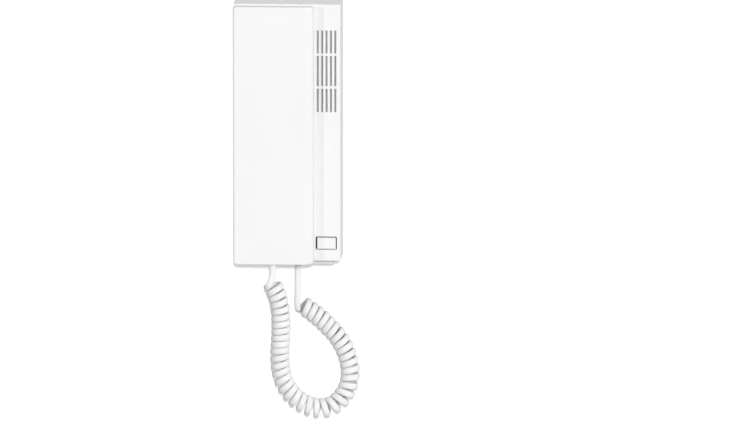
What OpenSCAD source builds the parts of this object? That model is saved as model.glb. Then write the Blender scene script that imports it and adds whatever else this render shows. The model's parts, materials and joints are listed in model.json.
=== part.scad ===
// Wall audio intercom: a base with a cradle, a lift-off handset, a door button and a curly cord
// Millimetres, Z up. The wall is the plane y = 0 and the front faces -Y.
// A depth is a distance from the wall, so depth d lies at y = -d.

/* [Base] */
// Width of the base at the wall
base_w = 88; // [87:0.5:91]
// Height of the base cover
base_h = 210; // [209:0.5:214]
// Depth from the wall to the front of the cover
base_d = 32; // [31.5:0.25:34]
// Wall of the moulded cover
cover_wall = 2.2; // [1.8:0.1:2.4]
// Corner radius of the cover, seen from the front
corner_r = 3.5; // [2.5:0.25:4.5]
// Soft rounding of the cover's front edges
edge_r = 0.8; // [0.5:0.1:1]
// How far the right side leans in towards the front
side_lean = 0.8; // [0.6:0.1:1.2]
// Space left between the cover's rear edge and the wall
rear_gap = 0.5; // [0.3:0.1:0.8]

/* [Cradle] */
// Width of the column to the right of the handset
column_w = 23.1; // [22.6:0.1:23.8]
// Thin rim left of the cradle
rim_left = 1.2; // [1:0.1:1.6]
// Band above the cradle
rim_top = 4.7; // [4:0.1:5.5]
// Band below the cradle
rim_bottom = 3.5; // [3:0.1:4.5]
// Depth of the shallow cradle under the grip
grip_depth = 6; // [5.5:0.25:6.5]
// Depth from the wall to the floor of the scooped ear pocket
ear_floor = 14; // [13.75:0.25:14.5]
// Height from the foot of the pocket's ramp up to the hook lever's pivot
ramp_below = 17; // [16:0.5:18]
// Run of the pocket's left wall
ear_run_left = 5; // [4.5:0.25:5.5]
// Run of the pocket's scooped right wall
ear_run_right = 15; // [14.5:0.25:15.5]
// Run of the pocket's sloping top wall
ear_run_top = 15.5; // [15:0.25:17]
// Run of the ramp at the pocket's foot
ear_run_ramp = 13.5; // [13:0.25:14]
// Wall of the cradle behind the handset
cradle_wall = 1.8; // [1.6:0.1:2]
// Middle of the earpiece, across from the middle of the pocket's floor
ear_shift = -0.5; // [-0.5:0.25:0.5]
// Middle of the earpiece, below the top of the pocket's floor
ear_down = 26.3; // [25:0.5:27]
// Slots of the cradle's sound grille
ear_slots = 6; // [5:1:7]
// Pitch of those slots
ear_slot_pitch = 3.4; // [3.2:0.1:3.6]
// Height of those slots
ear_slot_h = 31; // [28:0.5:32]

/* [Column] */
// Slots of the column's grille
grille_slots = 5; // [4:1:5]
// Pitch of those slots
grille_pitch = 3.55; // [3.4:0.05:3.6]
// Width of a slot in either grille
slot_w = 1.75; // [1.5:0.05:1.9]
// Middle of the grille, measured in from the right side of the base
grille_inset = 12.1; // [11.9:0.1:12.3]
// From the top of the cover down to the grille
grille_down = 21.3; // [19:0.5:25]
// Heights of the grille's three rows, from the top
grille_rows = [18.8, 24.8, 19.2];
// Bar between two rows
grille_bar = 2; // [1.5:0.1:2.5]
// Thickness of the acoustic cloth behind the grille
cloth_t = 0.6; // [0.4:0.1:0.8]

/* [Door button] */
// Width of the button's cap
button_w = 15.2; // [14.4:0.2:15.4]
// Height of the button's cap
button_h = 9.4; // [9:0.2:10]
// Gap between the cap and its aperture
button_gap = 0.8; // [0.6:0.1:0.8]
// Middle of the button, above the bottom of the cover
button_up = 14.5; // [14:0.25:16]
// How far the cap stands proud of the column
button_proud = 0.3; // [0:0.1:0.6]
// Stroke of the button
button_travel = 1.5; // [1:0.1:1.6]

/* [Hook switch] */
// Height from the hook lever's pivot up to the middle of the earpiece
hook_below = 35; // [35:0.25:36]
// Width of the lever's tongue
hook_w = 8.4; // [8:0.2:9]
// Reach of the tongue above the pivot
hook_reach = 11; // [10:0.25:11.5]
// Depth of the pivot behind the pocket's floor
hook_drop = 4.8; // [4.6:0.1:5]
// Diameter of the pivot pin
hook_pin_d = 2; // [1.8:0.1:2.2]
// Wire of the lever's torsion spring
spring_wire = 0.5; // [0.4:0.05:0.55]
// Turns of that spring
spring_turns = 3; // [2:1:3]

/* [Handset] */
// How far the handset stands proud of the column
handset_proud = 10; // [9.5:0.25:11]
// Step from the top of the base down to the top of the handset
handset_drop = 1.3; // [1:0.1:2]
// How far the handset reaches below the cover
handset_tail = 1.9; // [1.4:0.1:2.2]
// Step in from the left side of the base
handset_inset = 0.5; // [0.2:0.1:0.8]
// How far the handset laps over the column's edge
handset_lap = 0.8; // [0.6:0.1:1]
// Wall of the handset's shells
handset_wall = 2; // [1.8:0.1:2.2]
// Corner radius of the handset, seen from the front
handset_r = 2.5; // [2:0.25:3]
// Soft right edge of the handset
soft_right = 7; // [6:0.25:8]
// Soft left edge of the handset
soft_left = 2; // [1.75:0.25:2.5]
// Soft top and bottom edges of the handset
soft_ends = 1; // [0.8:0.1:1.4]
// Room round the receiver capsule on the floor of the ear form
receiver_slack = 1.4; // [1.4:0.1:3]
// Height of the receiver capsule
receiver_h = 9; // [8:0.5:10]
// Diameter of the microphone capsule
mic_d = 9.7; // [9:0.1:10]
// Height of the microphone above the handset's end
mic_up = 22; // [20:0.5:24]

/* [Wall fixing] */
// Thickness of the back plate
plate_t = 2.4; // [2:0.1:2.4]
// Distance between the two wall screws, one above the other
wall_pitch = 60; // [58:0.5:62]
// Diameter of the wall screw holes
wall_hole_d = 4.4; // [4:0.1:5]
// Width of the cable entry
entry_w = 26; // [20:1:30]
// Height of the cable entry
entry_h = 18; // [14:1:22]
// Thickness of the foot that shows under the cover
foot_t = 2.6; // [2.2:0.1:3]
// Depth of that foot
foot_d = 27; // [25:0.5:28]
// Width of that foot
foot_w = 76; // [72:1:77]

/* [Electronics] */
// Thickness of the circuit board
board_t = 1.6; // [1.4:0.1:1.8]
// Space between the terminals and the back plate
board_clear = 2.4; // [2:0.1:2.6]
// Poles of the terminal block
poles = 6; // [4:1:6]
// Diameter of the call speaker
speaker_d = 38; // [36:0.5:39]
// Height of the call speaker
speaker_h = 8; // [7.5:0.25:8.5]

/* [Cord] */
// Diameter of the cord
cord_d = 4.8; // [4.5:0.1:4.8]
// Outer diameter of its curls
curl_d = 15.8; // [15.4:0.1:16]
// Number of curls
curls = 38; // [36:1:38]
// How far the curls open in a bend: at 1 their inner sides stay evenly apart
curl_open = 1.04; // [1:0.02:1.1]
// Distance of the base's cord outlet from the base's middle
outlet_x = 7.6; // [6:0.1:10]
// Distance of the handset's cord outlet from the handset's middle
hand_outlet_shift = -0.7; // [-1:0.1:1]

/* [Clearances] */
// Running gap between handset and cradle
handset_gap = 0.4; // [0.3:0.05:0.5]
// Gap between pieces that slide or slip into each other
slip = 0.15; // [0.1:0.05:0.2]
// Radial gap of pins and screws in their holes
pin_slip = 0.05; // [0.03:0.01:0.08]

/* [Hidden] */
// Smoothness of rounds, and of the corners of lofted forms
$fn = 48;
corner_steps = 8;
loft_steps = 10;
cut = 1;

white = "#f4f5f6";
ivory = "#e9eaea";
dark = "#2a2b2d";
steel = "#b9bcc0";
green = "#2f6b46";
rubber = "#dcdddd";

// Outline of the base and of the handset
base_x0 = -base_w / 2;
base_x1 = base_w / 2;
base_z0 = -base_h / 2;
base_z1 = base_h / 2;
hand_x0 = base_x0 + handset_inset;
hand_x1 = base_x1 - column_w + handset_lap;
hand_z0 = base_z0 - handset_tail;
hand_z1 = base_z1 - handset_drop;
hand_x = (hand_x0 + hand_x1) / 2;
hand_rear = base_d + handset_gap;
hand_front = base_d + handset_proud;
hand_crown = 0.5;
crown_run = 12;
hand_soft = 6;
left_soft = 1.5 * soft_left;
ends_soft = soft_ends;
form_inset = handset_wall + slip + 0.05;

// Mouth of the cradle at the front of the cover
mouth_x0 = base_x0 + rim_left;
mouth_x1 = base_x1 - column_w;
mouth_z0 = base_z0 + rim_bottom;
mouth_z1 = base_z1 - rim_top;
ear_depth = base_d - ear_floor;
grip_floor = base_d - grip_depth;
ear_x = (mouth_x0 + ear_run_left + mouth_x1 - ear_run_right) / 2 + ear_shift;
ear_z = mouth_z1 - ear_run_top - ear_down;
ear_mid_z = ear_z - ear_slot_h / 2;
hook_z = ear_z - hook_below;
ear_ramp_z = hook_z - ramp_below;
grip_run = 5;

// Board and what stands on it
term_pitch = 5;
term_w = poles * term_pitch;
term_h = 8.6;
term_l = 9;
term_bevel = 2.5;
board_back = plate_t + board_clear + term_h;
board_front = board_back + board_t;
board_x0 = -34;
board_x1 = base_x1 - 6.5;
board_z1 = hook_z - 8.5;
board_up = 21;
board_tail_up = 6;
board_z0 = base_z0 + board_up;
board_tail_z = base_z0 + board_tail_up;
board_tail_x = mouth_x1 + 1.5;
post_xs = [-28, 14];
post_zs = [board_z0 + 5, board_z1 - 11];
post_r = 3;
screw_r = 1.1;
screw_bite = 6;
recess_l = 1.2;
recess_w = 0.7;
recess_deep = 1.6;
screw_spare = 1;
screw_head_r = 2.7;
screw_head_h = 2;

// Column's grille and button
grille_x = base_x1 - grille_inset;
grille_top = base_z1 - grille_down;
grille_z = [grille_top,
    grille_top - grille_rows[0] - grille_bar,
    grille_top - grille_rows[0] - grille_rows[1] - 2 * grille_bar];
grille_h = grille_rows[0] + grille_rows[1] + grille_rows[2] + 2 * grille_bar;
button_x = grille_x;
button_z = base_z0 + button_up;
button_front = base_d + button_proud;
column_back = base_d - cover_wall;
flange_d = column_back - slip;
flange_t = 1.2;
flange_over = 1.2;
stem_r = 2.6;
switch_w = 6.4;
switch_h = 4.2;
push_r = 1.7;
push_out = 2.2;
push_end = board_front + switch_h + push_out;

// Hook lever, its pin, its spring and its switch
hook_x = ear_x;
pivot_d = ear_floor - hook_drop;
hub_r = 2.4;
hub_w = 4.8;
cheek_t = 2.4;
cheek_gap = 0.3;
hook_x0 = hook_x - hook_w / 2;
hook_x1 = hook_x + hook_w / 2;
hook_rear = ear_floor - 2.7;
hook_foot = 1.8;
hook_slot = 2.2;
micro_w = 12.8;
micro_l = 6.2;
micro_h = 5.8;
micro_z1 = hook_z - 6.3;
micro_rear = board_back - micro_h;
plunger_z = hook_z - 8;
plunger_r = 0.9;
plunger_out = 0.6;
arm_front = micro_rear - plunger_out - pin_slip;
arm_t = 1.8;
spring_r = hook_pin_d / 2 + 0.75;
spring_pitch = spring_wire + 0.45;
spring_x = hook_x0 + hub_w + 0.45;

// Sound
speaker_seat = ear_floor - cradle_wall;
receiver_seat = ear_floor + handset_gap + handset_wall;
receiver_d = mouth_x1 - mouth_x0 - ear_run_left - ear_run_right
    - 2 * (handset_gap + handset_wall + form_inset) - receiver_slack;
gasket_t = 1;
mic_seat = grip_floor + handset_gap + handset_wall;
mic_z = hand_z0 + mic_up;
mic_h = 6;
boot_t = 1.4;

// Handset screws
hand_screw_low = 45;
hand_screw_high = 11.4;
hand_screw_zs = [hand_z0 + hand_screw_low, ear_ramp_z - hand_screw_high];
hand_head_r = 3;
hand_head_h = 2.2;
hand_boss_end = hand_rear + handset_wall;

// Back plate, its foot and the cover's screw
plate_x0 = base_x0 + cover_wall + slip * 2;
plate_z0 = base_z0 + cover_wall + slip * 2;
foot_top = base_z0 - 0.5;
foot_bottom = foot_top - foot_t;
outlet_d = 14;
fix_x = -22;
fix_d = 14;
fix_r = 1.5;
fix_half = 4;
fix_hole = 12;
fix_l = 11;
fix_head_r = 2.8;
fix_head_h = 1.8;
tab_x = 25;
tab_w = 8;
tab_d0 = 4.4;
tab_d1 = 6.4;
tab_lip = 1.2;

// Cord outlets
gland_r = cord_d / 2 + 0.9;
gland_lip = 0.8;
collar_r = gland_r + 1;
collar_h = 2;
hand_collar_d = 6.4;
hand_outlet_d = hand_rear + 4.6;
hand_outlet_x = hand_x + hand_outlet_shift;

// Route of the curls' axis, from the handset's side to the base's: x, depth, z
cord_points = [
    [-11.6, 33.5, -124.5], [-7.8, 33.5, -134], [-5.6, 33.5, -144], [-5, 33.5, -154], [-5, 33.5, -164],
    [-5.5, 33.5, -174], [-6, 33.5, -184], [-5.2, 33, -194], [-2.4, 32, -204.4], [3.1, 30.5, -213.8],
    [10.8, 28.5, -221.3], [20.5, 26, -226], [31, 23.5, -226.8], [40, 21, -222.5], [46.4, 18.5, -215],
    [49.8, 17, -206], [50.2, 16, -196], [48.2, 15.5, -186], [44.3, 15, -176.5], [38.9, 15, -168],
    [32, 15, -160.5], [24.6, 15, -153.5], [16.8, 15, -147.5], [12.2, 15, -144.5]];
// Straight lengths below the two outlets, and how far each lead swings before it joins the curls
lead_hand = 8;
lead_base = 24;
lead_swing = 7;
// Angles round the axis, from the front, at which the leads join
curl_first = 60;
curl_last = 230;

// Upright slab between two depths, from a profile drawn in the front view
module slab(d0, d1) {
    translate([0, -d0, 0]) rotate([90, 0, 0]) linear_extrude(d1 - d0) children();
}

// Profile drawn as depth and height, pulled across between two x
module across(x0, x1) {
    translate([x1, 0, 0]) rotate([0, -90, 0]) linear_extrude(x1 - x0) mirror([0, 1]) children();
}

// Round post or bore along the depth
module post(x, z, d0, d1, r) {
    translate([x, -d0, z]) rotate([90, 0, 0]) cylinder(h = d1 - d0, r = r);
}

// Box given by its sides, with depths for y
module block(x0, x1, d0, d1, z0, z1) {
    translate([x0, -d1, z0]) cube([x1 - x0, d1 - d0, z1 - z0]);
}

// Rounded rectangle from true arcs
module rounded(x0, x1, z0, z1, r) {
    translate([x0 + r, z0]) square([x1 - x0 - 2 * r, z1 - z0]);
    translate([x0, z0 + r]) square([x1 - x0, z1 - z0 - 2 * r]);
    for (x = [x0 + r, x1 - r], z = [z0 + r, z1 - r]) translate([x, z]) circle(r);
}

// Rounded outline at one depth of a lofted form
function outline(x0, x1, z0, z1, r, d) =
    [for (c = [[x1 - r, z1 - r, 0], [x0 + r, z1 - r, 90], [x0 + r, z0 + r, 180], [x1 - r, z0 + r, 270]],
        k = [0 : corner_steps])
        let (a = c[2] + 90 * k / corner_steps) [c[0] + r * cos(a), -d, c[1] + r * sin(a)]];

// Loft through outlines that have the same count of points, from the wall's side to the front
module loft(rings) {
    n = len(rings[0]);
    last = len(rings) - 1;
    skin = [for (i = [0 : last - 1], k = [0 : n - 1])
        let (a = i * n + k, b = i * n + (k + 1) % n)
        each [[a, b + n, b], [a, a + n, b + n]]];
    rear = [for (k = [0 : n - 1]) k];
    front = [for (k = [n - 1 : -1 : 0]) last * n + k];
    polyhedron(points = [for (q = rings) each q], faces = concat(skin, [rear, front]));
}

// Revolve about a line along the depth, from a profile of radius and depth
module turned(x, z) {
    translate([x, 0, z]) rotate([90, 0, 0]) rotate_extrude() children();
}

// Outer form of the base, set in by c on every side but the wall's
module base_form(c, rear) {
    r = max(corner_r - c, 1);
    loft(concat(
        [for (d = [rear, plate_t + 2])
            outline(base_x0 + c, base_x1 - c, base_z0 + c, base_z1 - c, r, d)],
        [for (i = [0 : loft_steps])
            let (s = edge_r * (1 - cos(90 * i / loft_steps)),
                d = base_d - c - edge_r * (1 - sin(90 * i / loft_steps)))
            outline(base_x0 + c + s, base_x1 - c - side_lean - s, base_z0 + c + s, base_z1 - c - s, r, d)]));
}

// Scooped pocket for the ear end, grown by c, narrowed by side, run out past the front by ext
module ear_form(c, ext, side) {
    x0 = mouth_x0 - c + side;
    x1 = mouth_x1 + c - side;
    loft(concat(
        [for (i = [loft_steps : -1 : 0])
            let (e = 1 - cos(90 * i / loft_steps), f = sin(90 * i / loft_steps))
            outline(x0 + ear_run_left * e, x1 - ear_run_right * e,
                ear_ramp_z - c + ear_run_ramp * f, mouth_z1 + c - ear_run_top * f,
                3 + 4 * f, base_d - (ear_depth + c) * f)],
        [outline(x0, x1, ear_ramp_z - c, mouth_z1 + c, 3, base_d + ext)]));
}

// Shallow tray under the grip, in the same way
module grip_form(c, ext, side) {
    x0 = mouth_x0 - c + side;
    x1 = mouth_x1 + c - side;
    loft(concat(
        [for (i = [3 : -1 : 0])
            let (e = 1 - cos(30 * i), f = sin(30 * i))
            outline(x0 + grip_run * e, x1 - grip_run * e, mouth_z0 - c + grip_run * e,
                ear_mid_z, 3, base_d - (grip_depth + c) * f)],
        [outline(x0, x1, mouth_z0 - c, ear_mid_z, 3, base_d + ext)]));
}

module cradle_form(c, ext, side) {
    ear_form(c, ext, side);
    grip_form(c, ext, side);
}

// Slots of one row, upright and round-ended, cut between two depths
module slot_row(x, z0, z1, n, pitch, d0, d1) {
    for (i = [0 : n - 1]) {
        sx = x + (i - (n - 1) / 2) * pitch;
        slab(d0, d1) rounded(sx - slot_w / 2, sx + slot_w / 2, z0, z1, 0.4);
    }
}

// Front cover: shell with the cradle, the column's grille and the seats of what it carries
module front_cover() {
    color(white) difference() {
        union() {
            difference() {
                base_form(0, rear_gap);
                difference() {
                    base_form(cover_wall, -cut);
                    cradle_form(cradle_wall, 0, 0);
                }
            }
            cover_posts();
        }
        cradle_form(0, 2, 0);
        column_cuts();
        cradle_cuts();
        foot_cuts();
    }
}

// Posts, rings and cheeks behind the cradle
module cover_posts() {
    for (x = post_xs, z = post_zs) difference() {
        post(x, z, board_front, grip_floor - 0.5, post_r);
        post(x, z, board_front - cut, board_front + screw_bite + screw_spare, screw_r + pin_slip);
    }
    difference() {
        post(ear_x, ear_z, speaker_seat - 4, speaker_seat + 0.5, speaker_d / 2 + slip + 1.4);
        post(ear_x, ear_z, speaker_seat - 4 - cut, speaker_seat, speaker_d / 2 + slip);
    }
    for (x = [hook_x0 - cheek_gap - cheek_t, hook_x1 + cheek_gap])
        difference() {
            block(x, x + cheek_t, pivot_d - hub_r, ear_floor + 6, hook_z - 2.6, hook_z + 2.6);
            translate([x - cut, -pivot_d, hook_z]) rotate([0, 90, 0])
                cylinder(h = cheek_t + 2 * cut, r = hook_pin_d / 2 + pin_slip);
        }
    block(hook_x0 + hub_w + 0.3, hook_x1 + cheek_gap + cheek_t, pivot_d + spring_r + spring_wire / 2 + pin_slip,
        ear_floor + 6, hook_z - 6, hook_z - 4);
    difference() {
        block(fix_x - fix_half, fix_x + fix_half, fix_d - fix_half, fix_d + fix_half,
            base_z0 + cover_wall / 2, base_z0 + fix_hole + 2);
        translate([fix_x, -fix_d, base_z0]) cylinder(h = fix_hole, r = fix_r + pin_slip);
    }
}

// Grille and button aperture of the column
module column_cuts() {
    for (i = [0 : 2])
        slot_row(grille_x, grille_z[i] - grille_rows[i], grille_z[i], grille_slots, grille_pitch,
            column_back - 0.4, base_d + cut);
    slab(flange_d - flange_t - button_travel - 0.5, base_d + cut)
        rounded(button_x - button_w / 2 - button_gap, button_x + button_w / 2 + button_gap,
            button_z - button_h / 2 - button_gap, button_z + button_h / 2 + button_gap, 1.2);
}

// Grille and hook window of the cradle
module cradle_cuts() {
    slot_row(ear_x, ear_z - ear_slot_h / 2, ear_z + ear_slot_h / 2, ear_slots, ear_slot_pitch,
        speaker_seat - 0.2, ear_floor + cut);
    block(hook_x0 - cheek_gap, hook_x1 + cheek_gap, ear_floor - cradle_wall - 2, ear_floor + cut,
        hook_z - 0.4, hook_z + hook_reach + hook_slot);
}

// Way for the plate's foot, its tabs, the cord and the cover's screw
module foot_cuts() {
    block(-foot_w / 2 - slip * 2, foot_w / 2 + slip * 2, -cut, plate_t + slip * 2,
        base_z0 - cut, base_z0 + cover_wall + 0.1);
    for (s = [-1, 1])
        block(s * tab_x - tab_w / 2 - slip, s * tab_x + tab_w / 2 + slip, tab_d0 - slip, tab_d1 + slip,
            base_z1 - cover_wall - 0.3, base_z1 - cover_wall - slip * 2 + tab_lip + slip);
    translate([outlet_x, -outlet_d, base_z0 - cut]) cylinder(h = cover_wall + 2, r = gland_r + 1.6);
    translate([fix_x, -fix_d, base_z0 - cut]) cylinder(h = cut + fix_hole, r = fix_r + pin_slip);
}

// Back plate on the wall, with screw holes, cable entry, tabs and the foot below
module back_plate() {
    color(ivory) difference() {
        union() {
            slab(0, plate_t) rounded(plate_x0, -plate_x0, plate_z0, -plate_z0, 2);
            for (z = [-1, 1]) post(0, z * wall_pitch / 2, 0, plate_t + 1, 5.5);
            for (s = [-1, 1]) {
                block(s * tab_x - tab_w / 2, s * tab_x + tab_w / 2, 1, tab_d1, -plate_z0 - 2, -plate_z0);
                block(s * tab_x - tab_w / 2, s * tab_x + tab_w / 2, tab_d0, tab_d1, -plate_z0 - 2,
                    -plate_z0 + tab_lip);
            }
            block(-foot_w / 2, foot_w / 2, 0, plate_t, foot_top - 1, plate_z0 + 3);
            translate([0, 0, foot_bottom]) linear_extrude(foot_t)
                foot_outline();
            entry_rim();
        }
        for (z = [-1, 1]) post(0, z * wall_pitch / 2, -cut, plate_t + 3, wall_hole_d / 2);
        slab(-cut, plate_t + 3) rounded(-entry_w / 2, entry_w / 2, -entry_h / 2, entry_h / 2, 3);
        translate([outlet_x, -outlet_d, foot_bottom - cut]) cylinder(h = foot_t + 2, r = gland_r + slip);
        translate([fix_x, -fix_d, foot_bottom - cut]) cylinder(h = foot_t + 2, r = fix_r + 0.3);
    }
}

// Foot seen from above: square at the wall, rounded at the front corners
module foot_outline() {
    r = 4;
    translate([-foot_w / 2, -foot_d + r]) square([foot_w, foot_d - r]);
    translate([-foot_w / 2 + r, -foot_d]) square([foot_w - 2 * r, r + 0.01]);
    for (s = [-1, 1]) translate([s * (foot_w / 2 - r), -foot_d + r]) circle(r);
}

// Raised rim round the cable entry
module entry_rim() {
    slab(0, plate_t + 1) rounded(-entry_w / 2 - 1.6, entry_w / 2 + 1.6, -entry_h / 2 - 1.6,
        entry_h / 2 + 1.6, 4.6);
}

// Circuit board with a tail down the column to the door switch
module main_board() {
    color(green) difference() {
        union() {
            block(board_x0, board_x1, board_back, board_front, board_z0, board_z1);
            block(board_tail_x, board_x1, board_back, board_front, board_tail_z, board_z0 + 1);
        }
        for (x = post_xs, z = post_zs) post(x, z, board_back - cut, board_front + cut, screw_r + 0.4);
    }
}

// Screw driven along the depth from the wall's side: head, shank and cross recess
module rear_screw(x, z, seat, length, shank_r, head_r, head_h) {
    difference() {
        union() {
            post(x, z, seat - head_h, seat, head_r);
            post(x, z, seat - 0.5, seat + length, shank_r);
        }
        for (a = [0, 90]) translate([x, -seat + head_h, z]) rotate([0, a, 0])
            cube([recess_l * head_r, recess_deep, recess_w], center = true);
    }
}

module board_screws() {
    color(steel) for (x = post_xs, z = post_zs)
        rear_screw(x, z, board_back, board_t + screw_bite, screw_r, screw_head_r, screw_head_h);
}

// Terminal block for the riser wires, on the board's rear
term_up = 20;
term_z = board_z0 + term_up;
term_x = -6;
term_screw_r = 1.7;
term_screw_up = 3.5;
term_screw_end = board_back - term_h / 2;
term_screw_sunk = 1;
term_slot_w = 0.6;
term_slot_deep = 0.8;
wire_w = 3;
wire_off = 2.6;
wire_deep = 5;
function pole_x(i) = term_x + (i - (poles - 1) / 2) * term_pitch;

module terminal_block() {
    back = board_back - term_h;
    color("#3f7f58") difference() {
        across(term_x - term_w / 2, term_x + term_w / 2)
            polygon([[term_z, board_back], [term_z + term_l, board_back],
                [term_z + term_l, back + term_bevel], [term_z + term_l - term_bevel, back], [term_z, back]]);
        for (i = [0 : poles - 1]) {
            post(pole_x(i), term_z + term_screw_up, back - cut, term_screw_end, term_screw_r + pin_slip * 2);
            block(pole_x(i) - wire_w / 2, pole_x(i) + wire_w / 2, board_back - wire_off - wire_w,
                board_back - wire_off, term_z - cut, term_z + wire_deep);
        }
    }
}

module terminal_screws() {
    head = board_back - term_h + term_screw_sunk;
    color(steel) for (i = [0 : poles - 1]) difference() {
        post(pole_x(i), term_z + term_screw_up, head, term_screw_end, term_screw_r);
        block(pole_x(i) - 2 * term_screw_r, pole_x(i) + 2 * term_screw_r, head - cut, head + term_slot_deep,
            term_z + term_screw_up - term_slot_w / 2, term_z + term_screw_up + term_slot_w / 2);
    }
}

// Call speaker behind the cradle's grille
module speaker_frame() {
    s = speaker_seat;
    r = speaker_d / 2;
    color(steel) turned(ear_x, ear_z) polygon([[r, s], [r, s - 1.6], [r - 3, s - 1.6], [r - 7.5, s - speaker_h + 3],
        [4, s - speaker_h + 3], [4, s - speaker_h + 3.8], [r - 7, s - speaker_h + 3.8], [r - 2.4, s - 0.8],
        [r - 2, s]]);
}

module speaker_cone() {
    s = speaker_seat;
    r = speaker_d / 2 - 2.6;
    color(dark) turned(ear_x, ear_z) polygon([[0, s - 2.2], [3.4, s - 2.6], [r - 3, s - 1], [r - 1.6, s - 0.4],
        [r - 0.4, s - 0.9], [r - 0.4, s - 1.2], [r - 1.6, s - 0.8], [r - 3, s - 1.4], [3.4, s - 3.2], [0, s - 2.8]]);
}

module speaker_magnet() {
    s = speaker_seat - speaker_h;
    color(dark) turned(ear_x, ear_z) polygon([[0, s], [9, s], [9.5, s + 0.5], [9.5, s + 3], [3.4, s + 3],
        [3.4, s + 4.2], [0, s + 4.2]]);
}

// Acoustic cloth behind the column's grille
module grille_cloth() {
    w = (grille_slots - 1) * grille_pitch / 2 + slot_w / 2;
    x0 = max(grille_x - w - 0.4, mouth_x1 + cradle_wall + slip);
    x1 = min(grille_x + w, base_x1 - side_lean - cover_wall - edge_r - slip);
    color(rubber) slab(column_back - cloth_t, column_back)
        rounded(x0, x1, grille_top - grille_h - 1.5, grille_top + 1.5, 0.5);
}

// Hook lever: tongue in the cradle, hub on the pin and arm to the switch
module hook_lever() {
    tip = hook_z + hook_reach;
    color(white) difference() {
        union() {
            across(hook_x0, hook_x1) polygon([[hook_z + hook_foot, ear_floor], [tip - 0.8, ear_floor],
                [tip, ear_floor - 0.8], [tip, hook_rear], [hook_z + hook_foot, hook_rear]]);
            across(hook_x0, hook_x0 + hub_w) {
                translate([hook_z, pivot_d]) circle(hub_r);
                polygon([[hook_z, pivot_d + hub_r], [hook_z + hook_foot + 1, ear_floor - 0.5],
                    [hook_z + hook_foot + 1, hook_rear], [hook_z + hub_r * 0.8, pivot_d]]);
                polygon([[hook_z - 0.5, pivot_d - hub_r + 0.2], [hook_z - hub_r * 0.9, pivot_d],
                    [plunger_z + 2, arm_front], [plunger_z - 1.2, arm_front],
                    [plunger_z - 1.2, arm_front - arm_t], [plunger_z + 2, arm_front - arm_t]]);
            }
        }
        translate([hook_x0 - cut, -pivot_d, hook_z]) rotate([0, 90, 0])
            cylinder(h = hook_w + 2 * cut, r = hook_pin_d / 2 + pin_slip);
    }
}

module hook_pin() {
    color(steel) translate([hook_x0 - cheek_gap - cheek_t + 0.2, -pivot_d, hook_z]) rotate([0, 90, 0])
        cylinder(h = hook_w + 2 * cheek_gap + 2 * cheek_t - 0.4, r = hook_pin_d / 2);
}

// Switch that the lever's arm holds down while the handset is in the cradle
module hook_switch() {
    color(dark) difference() {
        block(hook_x - micro_w / 2, hook_x + micro_w / 2, micro_rear, board_back, micro_z1 - micro_l, micro_z1);
        post(hook_x0 + hub_w / 2, plunger_z, micro_rear - cut, micro_rear + 2.6, plunger_r + pin_slip);
        for (s = [-1, 1])
            translate([hook_x + s * 4.4, -board_back + 2, micro_z1 - micro_l - cut])
                cylinder(h = micro_l + 2 * cut, r = 1);
    }
}

module hook_plunger() {
    color("#b5382f") post(hook_x0 + hub_w / 2, plunger_z, micro_rear - plunger_out, micro_rear + 1.4, plunger_r);
}

// Points of a tube: centre, and a direction that isn't along it
function unit(v) = v / norm(v);
function ring(p, along, side, r, n) =
    let (a = unit(side - (side * along) * along), b = cross(along, a))
    [for (k = [0 : n - 1]) p + r * (cos(360 * k / n) * a + sin(360 * k / n) * b)];

// One unbroken tube along a list of points, of triangles
module tube(points, sides, r, n) {
    last = len(points) - 1;
    rings = [for (i = [0 : last])
        ring(points[i], unit(points[min(i + 1, last)] - points[max(i - 1, 0)]), sides[i], r, n)];
    corners = [for (q = rings) each q];
    skin = [for (i = [0 : last - 1], k = [0 : n - 1])
        let (a = i * n + k, b = i * n + (k + 1) % n)
        each [[a, b + n, b], [a, a + n, b + n]]];
    caps = [for (k = [1 : n - 2]) each [[0, k, k + 1], [last * n, last * n + k + 1, last * n + k]]];
    polyhedron(points = corners, faces = concat(skin, caps));
}

// Torsion spring round the pin, one leg behind the tongue and one on the cover's rest
spring_rings = 8;
spring_leg_down = 5.4;
spring_leg_up = 8;
spring_sides = [for (k = [0 : spring_turns * spring_rings])
    [0, -cos(360 * k / spring_rings), sin(360 * k / spring_rings)]];
spring_mid = [for (k = [0 : spring_turns * spring_rings])
    [spring_x + spring_pitch * k / spring_rings, -pivot_d, hook_z] + spring_r * spring_sides[k]];
spring_last = spring_mid[len(spring_mid) - 1];

module hook_spring() {
    front = [0, -1, 0];
    color(steel) tube(concat([spring_mid[0] - [0, 0, spring_leg_down]], spring_mid,
        [spring_last + [0, 0, spring_leg_up]]), concat([front], spring_sides, [front]), spring_wire / 2, 6);
}

// Door button: cap in the aperture, flange behind the column and stem to the switch
module door_button() {
    x0 = button_x - button_w / 2;
    x1 = button_x + button_w / 2;
    z0 = button_z - button_h / 2;
    z1 = button_z + button_h / 2;
    color(white) {
        loft([outline(x0, x1, z0, z1, 0.9, flange_d - 0.6), outline(x0, x1, z0, z1, 0.9, button_front - 0.6),
            outline(x0 + 0.6, x1 - 0.6, z0 + 0.6, z1 - 0.6, 0.9, button_front)]);
        slab(flange_d - flange_t, flange_d)
            rounded(max(x0 - button_gap - flange_over, mouth_x1 + cradle_wall + slip),
            min(x1 + button_gap + flange_over, base_x1 - side_lean - cover_wall - edge_r - slip),
            z0 - button_gap - flange_over, z1 + button_gap + flange_over, 1);
        post(button_x, button_z, push_end + pin_slip, flange_d - flange_t + 0.1, stem_r);
    }
}

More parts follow.
